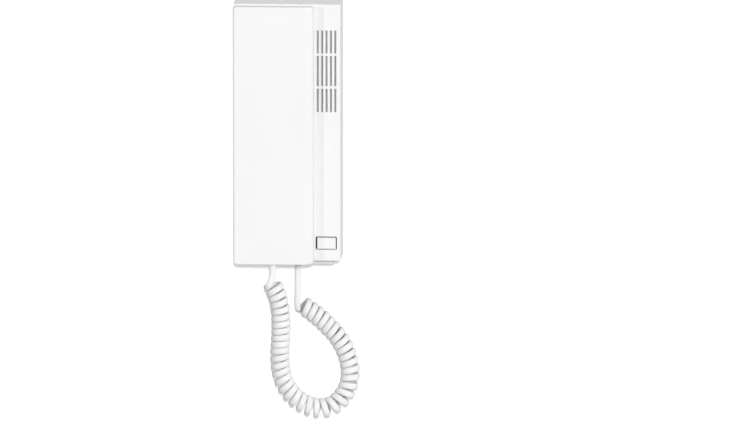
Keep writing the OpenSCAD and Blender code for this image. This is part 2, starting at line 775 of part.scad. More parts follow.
// Push switch of the door button on the board's tail
module door_switch() {
    color(dark) difference() {
        block(button_x - switch_w / 2, button_x + switch_w / 2, board_front, board_front + switch_h,
            button_z - switch_w / 2, button_z + switch_w / 2);
        post(button_x, button_z, board_front + 0.8, board_front + switch_h + cut, push_r + pin_slip);
    }
}

module door_plunger() {
    color("#8d8f92") post(button_x, button_z, board_front + 0.8 + button_travel + 0.3, push_end, push_r);
}

// Screw up through the foot into the cover
module cover_screw() {
    color(steel) difference() {
        union() {
            translate([fix_x, -fix_d, foot_bottom - fix_head_h]) cylinder(h = fix_head_h, r = fix_head_r);
            translate([fix_x, -fix_d, foot_bottom - fix_head_h / 2]) cylinder(h = fix_l + fix_head_h / 2, r = fix_r);
        }
        for (a = [0, 90]) translate([fix_x, -fix_d, foot_bottom - fix_head_h]) rotate([0, 0, a])
            cube([recess_l * fix_head_r, recess_w, recess_deep], center = true);
    }
}

// Rubber bush that holds a cord's end: lip outside, neck in the wall and collar inside
module gland(x, d, outside, wall, collar_d) {
    color(rubber) translate([x, -d, outside]) difference() {
        union() {
            translate([0, 0, -gland_lip]) cylinder(h = gland_lip, r = gland_r + 0.6);
            translate([0, 0, -0.1]) cylinder(h = wall + slip + 0.2, r = gland_r);
            translate([0, 0, wall + slip]) intersection() {
                cylinder(h = collar_h, r = collar_r);
                translate([-collar_r - cut, -collar_d / 2, 0]) cube([2 * collar_r + 2 * cut, collar_d, collar_h]);
            }
        }
        translate([0, 0, -gland_lip - cut]) cylinder(h = wall + 6, r = cord_d / 2 + slip);
    }
}

module base_gland() {
    gland(outlet_x, outlet_d, foot_bottom, foot_t, 2 * collar_r + cut);
}

module handset_gland() {
    gland(hand_outlet_x, hand_outlet_d, hand_z0, handset_wall, hand_collar_d);
}

// How far an edge of a given rounding has come in at a depth below the rim
function round_in(r, deep, below) = below >= deep ? 0 : r * (1 - sqrt(1 - pow(1 - below / deep, 2)));

// Outer form of the handset's front shell, set in by c: soft edges and a slightly crowned front
module hand_form(c, rear) {
    r = max(handset_r - c / 2, 1);
    rim = hand_front - c - hand_crown;
    loft(concat(
        [outline(hand_x0 + c, hand_x1 - c, hand_z0 + c, hand_z1 - c, r, rear)],
        [for (i = [0 : loft_steps])
            let (below = hand_soft * (1 - sin(90 * i / loft_steps)), e = round_in(soft_ends, ends_soft, below))
            outline(hand_x0 + c + round_in(soft_left, left_soft, below),
                hand_x1 - c - round_in(soft_right, hand_soft, below),
                hand_z0 + c + e, hand_z1 - c - e, r, rim - below)],
        [outline(hand_x0 + c + soft_left + crown_run, hand_x1 - c - soft_right - crown_run,
            hand_z0 + c + soft_ends + crown_run, hand_z1 - c - soft_ends - crown_run, r, hand_front - c)]));
}

// Front shell of the handset with its screw posts
module handset_front() {
    color(white) difference() {
        union() {
            difference() {
                hand_form(0, hand_rear);
                hand_form(handset_wall, hand_rear - cut);
            }
            for (z = hand_screw_zs)
                post(hand_x, z, hand_boss_end + slip, hand_front - handset_wall, 3.4);
        }
        for (z = hand_screw_zs)
            post(hand_x, z, hand_boss_end - cut, hand_front - handset_wall - 0.8, screw_r + pin_slip);
        translate([hand_outlet_x, -hand_outlet_d, hand_z0 - cut]) cylinder(h = 5, r = gland_r + slip);
        block(hand_outlet_x - collar_r - slip, hand_outlet_x + collar_r + slip,
            hand_outlet_d - hand_collar_d / 2 - slip, hand_outlet_d + hand_collar_d / 2 + slip,
            hand_z0 + handset_wall, hand_z0 + handset_wall + 3);
    }
}

// Back shell of the handset: lid with the ear and grip forms that lie in the cradle
module handset_back() {
    lid_x0 = hand_x0 + handset_wall + slip;
    lid_x1 = hand_x1 - handset_wall - slip;
    lid_z0 = hand_z0 + handset_wall + slip;
    lid_z1 = hand_z1 - handset_wall - slip;
    color(white) difference() {
        union() {
            difference() {
                union() {
                    slab(hand_rear, hand_rear + handset_wall) rounded(lid_x0, lid_x1, lid_z0, lid_z1, 1.4);
                    cradle_form(-handset_gap, handset_gap + 0.8, form_inset);
                }
                cradle_form(-handset_gap - handset_wall, handset_gap + handset_wall + 2, form_inset);
            }
            for (z = hand_screw_zs) post(hand_x, z, grip_floor + 1, hand_boss_end, 4.4);
            shell_ring(ear_x, ear_z, receiver_seat, receiver_d / 2 + slip, 5);
            shell_ring(hand_x, mic_z, mic_seat, mic_d / 2 + boot_t + slip, 4);
        }
        for (z = hand_screw_zs) {
            post(hand_x, z, grip_floor - cut, grip_floor + handset_gap + hand_head_h + 0.6, hand_head_r + 0.2);
            post(hand_x, z, grip_floor, hand_boss_end + cut, screw_r + 0.3);
        }
        ear_holes();
        for (s = [-1, 0, 1]) post(hand_x + s * 2.6, mic_z, grip_floor - cut, mic_seat + cut, 0.8);
        block(hand_outlet_x - collar_r - slip, hand_outlet_x + collar_r + slip, hand_rear - cut,
            hand_rear + handset_wall + cut, hand_z0, hand_z0 + handset_wall + slip + collar_h + 1);
    }
}

// Locating ring that stands up inside the back shell
module shell_ring(x, z, seat, r, h) {
    difference() {
        post(x, z, seat - 0.5, seat + h, r + 1.2);
        post(x, z, seat, seat + h + cut, r);
    }
}

// Ring pattern of holes in front of the receiver
module ear_holes() {
    post(ear_x, ear_z, ear_floor - cut, receiver_seat + cut, 1.1);
    for (a = [0 : 60 : 359])
        post(ear_x + 5 * cos(a), ear_z + 5 * sin(a), ear_floor - cut, receiver_seat + cut, 1.1);
    for (a = [15 : 30 : 359])
        post(ear_x + 9.5 * cos(a), ear_z + 9.5 * sin(a), ear_floor - cut, receiver_seat + cut, 1.1);
}

// Foam ring between receiver and shell
module receiver_gasket() {
    r = receiver_d / 2;
    color(dark) turned(ear_x, ear_z)
        translate([r - 4, receiver_seat]) square([4, gasket_t]);
}

// Receiver: cup with a stepped back
module receiver_capsule() {
    s = receiver_seat + gasket_t;
    r = receiver_d / 2;
    color("#55585c") turned(ear_x, ear_z) polygon([[r, s], [r, s + receiver_h - 3], [r - 1, s + receiver_h - 2],
        [10, s + receiver_h - 2], [9.5, s + receiver_h], [0, s + receiver_h], [0, s + 3], [r - 3, s + 3],
        [r - 3, s]]);
}

module receiver_diaphragm() {
    s = receiver_seat + gasket_t;
    r = receiver_d / 2 - 3.1;
    color(steel) turned(ear_x, ear_z) polygon([[0, s + 1.2], [6, s + 1.6], [r, s + 0.8], [r, s + 1.2], [6, s + 2],
        [0, s + 1.6]]);
}

// Rubber boot round the microphone
module mic_boot() {
    r = mic_d / 2;
    color(dark) turned(hand_x, mic_z) polygon([[1.6, mic_seat], [r + boot_t, mic_seat],
        [r + boot_t, mic_seat + mic_h], [r + pin_slip, mic_seat + mic_h], [r + pin_slip, mic_seat + boot_t],
        [1.6, mic_seat + boot_t]]);
}

module mic_capsule() {
    color(steel) turned(hand_x, mic_z) difference() {
        translate([0, mic_seat + boot_t]) square([mic_d / 2, mic_h]);
        translate([0, mic_seat + boot_t - cut]) square([1, cut + 0.6]);
    }
}

// Screws that hold the two shells together, from the cradle's side
module handset_screws() {
    color(steel) for (z = hand_screw_zs)
        rear_screw(hand_x, z, grip_floor + handset_gap + hand_head_h + 0.6, hand_front - handset_wall - 2.6
            - (grip_floor + handset_gap + hand_head_h + 0.6), screw_r, hand_head_r, hand_head_h);
}

// Curly cord, one unbroken tube from the handset's bush to the base's
hand_end = [hand_outlet_x, -hand_outlet_d, hand_z0 + handset_wall];
base_end = [outlet_x, -outlet_d, foot_top];
route = [for (p = cord_points) [p[0], -p[1], p[2]]];
route_last = len(route) - 1;

// Smooth curve through the route's points, at u points along it
function blend(a, b, c, d, t) =
    0.5 * (2 * b + (c - a) * t + (2 * a - 5 * b + 4 * c - d) * t * t + (3 * b - 3 * c + d - a) * t * t * t);
function route_at(u) =
    let (i = min(floor(u), route_last - 1),
        a = i > 0 ? route[i - 1] : 2 * route[0] - route[1],
        d = i + 2 <= route_last ? route[i + 2] : 2 * route[route_last] - route[route_last - 1])
    blend(a, route[i], route[i + 1], d, u - i);

// Lengths along the route, so that the curls are laid out by length
route_steps = 8;
route_samples = [for (k = [0 : route_last * route_steps]) route_at(k / route_steps)];
route_table = [for (i = 0, s = 0; i < len(route_samples);
    s = s + (i + 1 < len(route_samples) ? norm(route_samples[i + 1] - route_samples[i]) : 0), i = i + 1)
    [s, i / route_steps]];
route_length = route_table[len(route_table) - 1][0];
function place(s) = route_at(lookup(s, route_table));
function heading(s) = unit(place(min(s + 0.5, route_length)) - place(max(s - 0.5, 0)));

// Curls: the angle turns evenly while the axis runs on, faster where it bends
curl_r = (curl_d - cord_d) / 2;
curl_turn = 360 * curls + curl_last - curl_first;
curl_rings = round(curl_turn / 45);
bend_reach = 4;
bend_steps = 120;
function bend_at(s) = let (a = max(s - bend_reach, 0), b = min(s + bend_reach, route_length))
    norm(heading(b) - heading(a)) / (b - a);
bend_table = [for (i = 0, w = 0; i <= bend_steps;
    w = w + 1 - curl_open * curl_r * bend_at((i + 0.5) * route_length / bend_steps), i = i + 1)
    [w, i * route_length / bend_steps]];
function curl_s(v) = lookup(v * bend_table[bend_steps][0], bend_table);
function curl_side(s, angle) =
    let (t = heading(s), n = unit([0, -1, 0] + t[1] * t), b = cross(t, n))
    cos(angle) * n + sin(angle) * b;
curl_sides = [for (k = [0 : curl_rings])
    curl_side(curl_s(k / curl_rings), curl_first + curl_turn * k / curl_rings)];
curl_line = [for (k = [0 : curl_rings]) place(curl_s(k / curl_rings)) + curl_r * curl_sides[k]];

// Leads: straight at the outlets, then swung into the first and the last curl
function swing(a, b, c, d, t) =
    a * pow(1 - t, 3) + 3 * b * pow(1 - t, 2) * t + 3 * c * (1 - t) * t * t + d * pow(t, 3);
lead_steps = 6;
down = [0, 0, -1];
first = curl_line[0];
final = curl_line[curl_rings];
first_run = unit(curl_line[1] - first);
final_run = unit(final - curl_line[curl_rings - 1]);
hand_turn = hand_end + lead_hand * down;
base_turn = base_end + lead_base * down;
hand_lead = [for (k = [0 : lead_steps - 1])
    swing(hand_turn, hand_turn + lead_swing * down, first - lead_swing * first_run, first, k / lead_steps)];
base_lead = [for (k = [1 : lead_steps])
    swing(final, final + lead_swing * final_run, base_turn + lead_swing * down, base_turn, k / lead_steps)];
cord_line = concat([hand_end], hand_lead, curl_line, base_lead, [(base_turn + base_end) / 2, base_end]);
cord_sides = concat([for (k = [0 : lead_steps]) curl_sides[0]], curl_sides,
    [for (k = [0 : lead_steps + 1]) curl_sides[curl_rings]]);

// Length of the cord, and its least gap to itself between rings over three diameters apart along it
cord_lengths = [for (i = 0, s = 0; i < len(cord_line);
    s = s + (i + 1 < len(cord_line) ? norm(cord_line[i + 1] - cord_line[i]) : 0), i = i + 1) s];
function cord_gap() = min([for (i = [0 : len(cord_line) - 1], j = [i + 4 : 1 : len(cord_line) - 1])
    if (cord_lengths[j] - cord_lengths[i] > 3 * cord_d) norm(cord_line[j] - cord_line[i])]) - cord_d;

module curly_cord() {
    echo(cord_length = cord_lengths[len(cord_lengths) - 1], axis_length = route_length, least_gap = cord_gap());
    color(white) tube(cord_line, cord_sides, cord_d / 2, 6);
}

back_plate();
front_cover();
main_board();
board_screws();
terminal_block();
terminal_screws();
speaker_frame();
speaker_cone();
speaker_magnet();
grille_cloth();
hook_pin();
hook_spring();
hook_switch();
hook_plunger();
hook_lever();
door_button();
door_switch();
door_plunger();
cover_screw();
base_gland();
handset_front();
handset_back();
receiver_capsule();
receiver_diaphragm();
receiver_gasket();
mic_capsule();
mic_boot();
handset_screws();
handset_gland();
curly_cord();
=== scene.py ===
# Looks of the wall intercom, in metres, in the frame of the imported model
import json
from bisect import bisect_right
from math import cos, pi, radians, sin, sqrt, tan

import bmesh
import bpy
from mathutils import Matrix, Vector


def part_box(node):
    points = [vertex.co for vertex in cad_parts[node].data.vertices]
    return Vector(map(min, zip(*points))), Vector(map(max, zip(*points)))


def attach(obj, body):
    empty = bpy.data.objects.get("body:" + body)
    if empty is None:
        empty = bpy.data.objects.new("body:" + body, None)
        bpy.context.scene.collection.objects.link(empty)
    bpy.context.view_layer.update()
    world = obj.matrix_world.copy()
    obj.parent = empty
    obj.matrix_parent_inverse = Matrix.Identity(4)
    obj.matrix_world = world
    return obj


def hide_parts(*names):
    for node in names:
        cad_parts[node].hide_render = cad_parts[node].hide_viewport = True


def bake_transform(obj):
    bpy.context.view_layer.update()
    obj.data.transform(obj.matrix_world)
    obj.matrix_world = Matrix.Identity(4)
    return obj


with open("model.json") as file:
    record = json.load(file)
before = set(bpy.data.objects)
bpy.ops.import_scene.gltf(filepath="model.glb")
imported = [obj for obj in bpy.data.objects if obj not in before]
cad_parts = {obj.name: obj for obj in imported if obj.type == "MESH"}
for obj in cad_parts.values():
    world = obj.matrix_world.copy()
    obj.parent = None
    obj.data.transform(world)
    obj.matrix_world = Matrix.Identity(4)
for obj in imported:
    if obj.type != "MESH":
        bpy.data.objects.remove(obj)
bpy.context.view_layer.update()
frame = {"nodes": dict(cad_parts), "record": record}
nodes = frame["nodes"]
scene = bpy.context.scene
MM = 0.001
# Distance under which two depths count as one, and a share or length that counts as none
CLOSE, NIL = 0.01 * MM, 1e-6


# Camera: its place, the picture's width in pixels and the size of a pixel in mm
view_turn, view_rise = radians(3.3), radians(9)
view_far, sensor_wide = 12.0, 36
picture_wide, pixel = 750, 0.811
# The unit hangs left of and above the middle of the picture, by so many mm
aim_right, aim_down = 69.4, 76.4

view_wide = picture_wide * pixel * MM
to_camera = Vector((sin(view_turn) * cos(view_rise), -cos(view_turn) * cos(view_rise), sin(view_rise)))
view_right = Vector((cos(view_turn), sin(view_turn), 0))
view_up = to_camera.cross(view_right)
aim = view_right * aim_right * MM - view_up * aim_down * MM

camera_data = bpy.data.cameras.new("camera")
camera = bpy.data.objects.new("camera", camera_data)
scene.collection.objects.link(camera)
camera_data.sensor_width = sensor_wide
camera_data.lens = sensor_wide * view_far / view_wide
camera.location = to_camera * view_far
camera.rotation_mode = "QUATERNION"
camera.rotation_quaternion = (aim - camera.location).to_track_quat("-Z", "Y")
camera_data.clip_start, camera_data.clip_end = 0.05, 50
scene.camera = camera


# Making and finishing of pieces
def link(name, data):
    """A new object of the scene."""
    piece = bpy.data.objects.new(name, data)
    scene.collection.objects.link(piece)
    return piece


def made_mesh(bm, name):
    """The mesh of a finished bmesh."""
    mesh = bpy.data.meshes.new(name)
    bm.to_mesh(mesh)
    bm.free()
    return mesh


def evaluated_mesh(piece):
    """The piece's mesh with its modifiers applied."""
    return bpy.data.meshes.new_from_object(piece.evaluated_get(bpy.context.evaluated_depsgraph_get()))


def soften(piece, angle):
    """Smooth faces, with edges that turn more than an angle kept sharp."""
    bm = bmesh.new()
    bm.from_mesh(piece.data)
    for face in bm.faces:
        face.smooth = True
    for edge in bm.edges:
        edge.smooth = not edge.is_manifold or edge.calc_face_angle() < radians(angle)
    bm.to_mesh(piece.data)
    bm.free()
    even = piece.modifiers.new("even_normals", "WEIGHTED_NORMAL")
    even.keep_sharp = True


def finish_with(piece, material):
    """Gives a piece one material and no other."""
    piece.data.materials.clear()
    piece.data.materials.append(material)


# Route of the curly cord's axis, in mm: x, depth, height
cord_points = [
    (-11.6, 33.5, -124.5), (-7.8, 33.5, -134), (-5.6, 33.5, -144), (-5, 33.5, -154), (-5, 33.5, -164),
    (-5.5, 33.5, -174), (-6, 33.5, -184), (-5.2, 33, -194), (-2.4, 32, -204.4), (3.1, 30.5, -213.8),
    (10.8, 28.5, -221.3), (20.5, 26, -226), (31, 23.5, -226.8), (40, 21, -222.5), (46.4, 18.5, -215),
    (49.8, 17, -206), (50.2, 16, -196), (48.2, 15.5, -186), (44.3, 15, -176.5), (38.9, 15, -168),
    (32, 15, -160.5), (24.6, 15, -153.5), (16.8, 15, -147.5), (12.2, 15, -144.5)]
# The jacket is flat: its width lies along the axis, and its thickness outwards
cord_wide, cord_thick, cord_sides = 5.1, 3.5, 16
# Number of curls, the radius of the jacket's middle, and the angles at which the curls start and end
curls, curl_r = 38, 6.2
curl_first, curl_last = 60, 230
rings_a_turn = 28
# Ends in the two glands, the straight leads below them and the curves from those into the curls
hand_end, base_end = Vector((-11.6, -37, -104.9)), Vector((7.6, -14, -105.5))
lead_hand, lead_base, lead_swing, lead_steps = 8, 24, 7, 12
hand_steps, base_steps = 3, 6
down = Vector((0, 0, -1))


def between(xs, ys, x):
    """Value at x between the rows of a table, whose xs rise."""
    k = min(max(bisect_right(xs, x), 1), len(xs) - 1)
    return ys[k - 1] + (ys[k] - ys[k - 1]) * (x - xs[k - 1]) / (xs[k] - xs[k - 1])


class Axis:
    """The curls' axis: a smooth curve through points, measured by its length."""
    fine, heading_reach, bend_reach, bend_steps = 8, 0.5, 4, 120

    def __init__(self, points):
        self.points = points
        self.steps = [k / self.fine for k in range((len(points) - 1) * self.fine + 1)]
        places = [self.curve(u) for u in self.steps]
        self.lengths = [0.0]
        for a, b in zip(places, places[1:]):
            self.lengths.append(self.lengths[-1] + (b - a).length)
        self.length = self.lengths[-1]
        # Curls lie further apart along the axis where it bends, so that their inner sides don't meet
        self.spread, self.reached = [], []
        w = 0.0
        for i in range(self.bend_steps + 1):
            self.spread.append(w)
            self.reached.append(i * self.length / self.bend_steps)
            w += 1 - curl_r * self.bend((i + 0.5) * self.length / self.bend_steps)

    def curve(self, u):
        """Place on the curve, where each whole u is one of its points."""
        last = len(self.points) - 1
        i = min(int(u), last - 1)
        t = u - i
        b, c = self.points[i], self.points[i + 1]
        a = self.points[i - 1] if i else 2 * b - c
        d = self.points[i + 2] if i + 2 <= last else 2 * c - b
        return 0.5 * (2 * b + (c - a) * t + (2 * a - 5 * b + 4 * c - d) * t * t
                      + (3 * b - 3 * c + d - a) * t ** 3)

    def at(self, s):
        """Place at a length along the curve."""
        return self.curve(between(self.lengths, self.steps, s))

    def heading(self, s):
        """Way of the curve at a length along it."""
        a, b = max(s - self.heading_reach, 0), min(s + self.heading_reach, self.length)
        return (self.at(b) - self.at(a)).normalized()

    def bend(self, s):
        """How much the way turns to the mm at a length along the curve."""
        a, b = max(s - self.bend_reach, 0), min(s + self.bend_reach, self.length)
        return (self.heading(b) - self.heading(a)).length / (b - a)

    def curl(self, share):
        """Point on the curls at a share of their turns, and the way of the axis there."""
        s = between(self.spread, self.reached, share * self.spread[-1])
        angle = radians(curl_first + (360 * curls + curl_last - curl_first) * share)
        along = self.heading(s)
        front = (Vector((0, -1, 0)) + along.y * along).normalized()
        return self.at(s) + curl_r * (cos(angle) * front + sin(angle) * along.cross(front)), along


def swing(a, b, c, d, t):
    """Place at a share of the curve that leaves a towards b and comes into d from c."""
    return a * (1 - t) ** 3 + 3 * b * (1 - t) ** 2 * t + 3 * c * (1 - t) * t * t + d * t ** 3


def cord_line():
    """Centres of the cord's rings, from handset to base, and the way that its width lies at each."""
    axis = Axis([Vector((x, -d, z)) for x, d, z in cord_points])
    count = round((curls + (curl_last - curl_first) / 360) * rings_a_turn)
    curl = [axis.curl(k / count) for k in range(count + 1)]
    (first, first_wide), (last, last_wide) = curl[0], curl[-1]
    into, out = (curl[1][0] - first).normalized(), (last - curl[-2][0]).normalized()
    hand_turn, base_turn = hand_end + lead_hand * down, base_end + lead_base * down
    hand_wide, base_wide = Vector((1, 0, 0)), Vector((-1, 0, 0))
    shares = [k / lead_steps for k in range(lead_steps + 1)]
    hand_straight = [(hand_end.lerp(hand_turn, k / hand_steps), hand_wide) for k in range(hand_steps)]
    hand_lead = [(swing(hand_turn, hand_turn + lead_swing * down, first - lead_swing * into, first, t),
                  hand_wide.lerp(first_wide, t)) for t in shares[:-1]]
    base_lead = [(swing(last, last + lead_swing * out, base_turn + lead_swing * down, base_turn, t),
                  last_wide.lerp(base_wide, t)) for t in shares[1:]]
    base_straight = [(base_turn.lerp(base_end, k / base_steps), base_wide)
                     for k in range(1, base_steps + 1)]
    return hand_straight + hand_lead + curl + base_lead + base_straight


def ring_places(line):
    """Where each ring of the cord sits and how it turns: width, thickness and run, in metres."""
    places = []
    for k, (centre, wide) in enumerate(line):
        run = (line[min(k + 1, len(line) - 1)][0] - line[max(k - 1, 0)][0]).normalized()
        wide = (wide - wide.dot(run) * run).normalized()
        turned = Matrix((wide, run.cross(wide), run)).transposed().to_4x4()
        places.append(Matrix.Translation(centre * MM) @ turned)
    return places


def flat_section(angle):
    """Point on the edge of the flat jacket, whose two ends are round."""
    side = (cos(angle) > NIL) - (cos(angle) < -NIL)
    across = cord_thick * cos(angle) + side * (cord_wide - cord_thick)
    return Vector((across, cord_thick * sin(angle), 0)) * MM / 2


def flat_tube(name, places):
    """One unbroken tube, rolled up from a grid with a row for each place."""
    bm = bmesh.new()
    run = bm.verts.layers.float.new("along")
    last = len(places) - 1
    bmesh.ops.create_grid(bm, x_segments=last, y_segments=cord_sides, size=1)
    for vert in bm.verts:
        k = round((vert.co.x + 1) / 2 * last)
        # How far along the cord the row lies, for the marks on its jacket
        vert[run] = k / last
        vert.co = places[k] @ flat_section((vert.co.y + 1) * pi)
    bmesh.ops.remove_doubles(bm, verts=bm.verts, dist=NIL)
    bmesh.ops.holes_fill(bm, edges=[e for e in bm.edges if e.is_boundary], sides=cord_sides)
    bmesh.ops.recalc_face_normals(bm, faces=bm.faces)
    for face in bm.faces:
        face.smooth = len(face.verts) == 4
    return link(name, made_mesh(bm, name))


places = ring_places(cord_line())
cord = flat_tube("cord", places)


# Shader maths
class Tone:
    """A socket whose sums, differences and products add Math nodes."""
    def __init__(self, finish, socket):
        self.finish, self.socket = finish, socket

    def maths(self, how, a, b):
        return self.finish.node("Math", {"operation": how}, {0: a, 1: b})

    def __add__(self, other):
        return self.maths("ADD", self, other)

    def __radd__(self, other):
        return self.maths("ADD", other, self)

    def __sub__(self, other):
        return self.maths("SUBTRACT", self, other)

    def __rsub__(self, other):
        return self.maths("SUBTRACT", other, self)

    def __mul__(self, other):
        return self.maths("MULTIPLY", self, other)

    def __rmul__(self, other):
        return self.maths("MULTIPLY", other, self)


class Finish:
    """One material or world, made node by node."""
    def __init__(self, name, owner=None):
        self.owner = owner or bpy.data.materials.new(name)
        self.owner.use_nodes = True
        self.tree = self.owner.node_tree
        self.tree.nodes.clear()

    def node(self, kind, settings=None, sockets=None, out=0):
        """Adds a node: its settings first, then values or links of its sockets, and gives its output."""
        made = self.tree.nodes.new("ShaderNode" + kind)
        for key, value in (settings or {}).items():
            setattr(made, key, value)
        for key, value in (sockets or {}).items():
            if isinstance(value, Tone):
                self.tree.links.new(value.socket, made.inputs[key])
            else:
                made.inputs[key].default_value = value
        if isinstance(out, tuple):
            return [Tone(self, made.outputs[name]) for name in out]
        return Tone(self, made.outputs[out]) if len(made.outputs) else None

    def where(self, centre=(0, 0, 0), turn=(0, 0, 0), stretch=(1, 1, 1)):
        """Object coordinates, centred, turned and stretched."""
        place = self.node("TexCoord", out="Object")
        return self.node("Mapping", {"vector_type": "TEXTURE"}, {
            "Vector": place, "Location": centre, "Rotation": turn, "Scale": stretch})

    def noise(self, where, scale, detail=2.0, rough=0.5):
        """Noise of 0 to 1."""
        return self.node("TexNoise", {}, {
            "Vector": where, "Scale": scale, "Detail": detail, "Roughness": rough}, "Fac")

    def step(self, value, start, end):
        """From 0 at start to 1 at end, softly."""
        return self.node("MapRange", {"interpolation_type": "SMOOTHSTEP"}, {
            "Value": value, "From Min": start, "From Max": end}, "Result")

    def within(self, where, low, high, soft):
        """1 inside a box and 0 outside it, with soft edges."""
        inside = 1
        for k, value in enumerate(self.node("SeparateXYZ", {}, {"Vector": where}, ("X", "Y", "Z"))):
            start = self.step(value, low[k], low[k] + soft[k])
            end = self.step(value, high[k] - soft[k], high[k])
            inside = inside * start * (1 - end)
        return inside

    def one(self, how, value):
        """Maths on one value."""
        return self.node("Math", {"operation": how}, {0: value})

    def mix(self, share, a, b):
        """Colour between a and b."""
        return self.node("Mix", {"data_type": "RGBA"}, {"Factor": share, 6: a, 7: b}, 2)

    def bump(self, height, deep, strength=1.0, over=None):
        """Relief of a height of 0 to 1, deep in metres, over another relief."""
        sockets = {"Height": height, "Distance": deep, "Strength": strength}
        if over:
            sockets["Normal"] = over
        return self.node("Bump", {}, sockets)

    def done(self, sockets):
        """Ends a material with a surface of these values, and gives the material."""
        surface = self.node("BsdfPrincipled", {}, sockets)
        self.node("OutputMaterial", {}, {"Surface": surface})
        return self.owner


def grey(value, warm=0.0):
    """Grey that leans to red, or to blue where warm is below 0."""
    return (value * (1 + warm), value, value * (1 - warm), 1)


def shade(colour, share, lift=0.0):
    """A share of a colour, lifted evenly."""
    return tuple(c * share + lift for c in colour[:3]) + (1,)


def moulded(name, colour, rough=0.4, grain=0.02 * MM, wave=0.03 * MM, dust=0.03, painted_shade=None):
    """Injection-moulded plastic: fine spark-eroded grain, slow waves of shrinkage and faint dulling.

    Inside a box given by its corners and the widths of its soft edges, the colour is darkened to painted
    shade.
    """
    f = Finish(name)
    where = f.where()
    fine = f.noise(where, 2600, 2)
    flow = f.noise(where, 55, 3)
    cloud = f.noise(where, 14, 4, 0.6)
    dull = f.step(f.noise(where, 220, 4, 0.65), 0.52, 0.74)
    tint = f.mix(f.step(cloud, 0.3, 0.75) * 0.6 + dull * 0.4, colour, shade(colour, 1 - dust))
    if painted_shade:
        # Painted shade: inside the box the colour goes nearly to black, standing in for the shade in the
        # deep gap
        tint = f.mix(f.within(where, *painted_shade), tint, shade(colour, 0.08))
    relief = f.bump(flow, wave, 0.6, f.bump(fine, grain, 0.5))
    return f.done({"Base Color": tint, "Roughness": rough - 0.05 + fine * 0.05 + dull * 0.08 + cloud * 0.04,
                   "IOR": 1.5, "Normal": relief})


def jacket(name, colour):
    """Extruded cord jacket: dull soft gloss, with faint draw marks along its length."""
    f = Finish(name)
    where = f.where()
    run = f.node("Attribute", {"attribute_name": "along"}, {}, "Fac")
    bands = f.node("TexNoise", {"noise_dimensions": "1D"}, {"W": run, "Scale": 900.0, "Detail": 2.0}, "Fac")
    cloud = f.noise(where, 60, 3)
    fine = f.noise(where, 1500, 2)
    tint = f.mix(f.step(cloud, 0.35, 0.75) * 0.5 + bands * 0.3, colour, shade(colour, 0.955))
    return f.done({
        "Base Color": tint, "Roughness": 0.50 + bands * 0.08 + fine * 0.06, "Specular IOR Level": 0.12,
        "Normal": f.bump(bands * 0.5 + fine * 0.5, 0.03 * MM, 0.4)})


def soft_rubber(name, colour):
    """Rubber with a fine matt grain and a faint bloom."""
    f = Finish(name)
    where = f.where()
    fine = f.noise(where, 1800, 3)
    bloom = f.step(f.noise(where, 130, 4, 0.6), 0.45, 0.75)
    tint = f.mix(bloom, colour, shade(colour, 0.93, 0.01))
    return f.done({"Base Color": tint, "Roughness": 0.6 + bloom * 0.15 + fine * 0.05, "IOR": 1.5,
                   "Normal": f.bump(fine, 0.04 * MM, 0.5)})


def plated(name, colour, rough=0.32):
    """Zinc-plated or drawn metal: fine streaks and a spangled plating."""
    f = Finish(name)
    streaks = f.noise(f.where(stretch=(0.11, 1, 1)), 700, 3)
    spangle = f.node("TexVoronoi", {"feature": "F1"}, {"Vector": f.where(), "Scale": 1400.0}, "Color")
    grain = f.node("SeparateColor", {}, {"Color": spangle})
    tarnish = f.step(f.noise(f.where(), 160, 4), 0.45, 0.8)
    tint = f.mix(tarnish * 0.5 + grain * 0.2, colour, shade(colour, 0.72))
    return f.done({
        "Base Color": tint, "Metallic": 1.0, "Roughness": rough - 0.06 + grain * 0.1 + tarnish * 0.14,
        "Normal": f.bump(streaks, 0.02 * MM, 0.5)})


def weave(name, colour, light, pitch):
    """Woven acoustic cloth with threads over and under."""
    f = Finish(name)
    where = f.where()
    x, z = f.node("SeparateXYZ", {}, {"Vector": where}, ("X", "Z"))
    threads = f.one("SINE", x * (2 * pi / pitch)) * f.one("SINE", z * (2 * pi / pitch))
    over = threads * 0.5 + 0.5
    fuzz = f.noise(where, 3500, 3)
    tint = f.mix(over * 0.7 + fuzz * 0.3, colour, light)
    return f.done({"Base Color": tint, "Roughness": 0.85 + fuzz * 0.1,
                   "Normal": f.bump(over, 0.12 * MM, 0.8)})


def pressed_rings(name, colour, centre, pitch, metal, rough, deep):
    """Pressed cone or diaphragm with fine rings round a centre."""
    f = Finish(name)
    where = f.where(centre, (radians(90), 0, 0))
    rings = f.node("TexWave", {"wave_type": "RINGS", "rings_direction": "Z"}, {
        "Vector": where, "Scale": 1 / pitch / 2, "Distortion": 0.0}, "Fac")
    pulp = f.noise(where, 900, 4)
    tint = f.mix(rings * 0.5 + pulp * 0.5, colour, shade(colour, 1.5, 0.01))
    return f.done({"Base Color": tint, "Metallic": metal, "Roughness": rough + pulp * 0.12,
                   "Normal": f.bump(rings, deep, 0.7)})


def solder_mask(name):
    """Green board with tracks under the mask and tinned pads."""
    f = Finish(name)
    where = f.where()
    blocks = f.node("TexVoronoi", {"feature": "F1", "distance": "MANHATTAN"}, {
        "Vector": where, "Scale": 160.0}, "Distance")
    tracks = f.step(f.one("FRACT", blocks * 9), 0.45, 0.55)
    dots = f.node("TexVoronoi", {"feature": "F1"}, {
        "Vector": where, "Scale": 330.0, "Randomness": 0.55}, "Distance")
    pads = 1 - f.step(dots, 0.14, 0.2)
    fine = f.noise(where, 1600, 2)
    mask = f.mix(tracks, (0.010, 0.085, 0.030, 1), (0.018, 0.16, 0.055, 1))
    tint = f.mix(pads, mask, (0.62, 0.62, 0.6, 1))
    return f.done({
        "Base Color": tint, "Metallic": pads * 0.9, "Roughness": 0.32 + fine * 0.08 - pads * 0.05,
        "Normal": f.bump(tracks * 0.4 + pads * 0.6, 0.05 * MM, 0.7)})


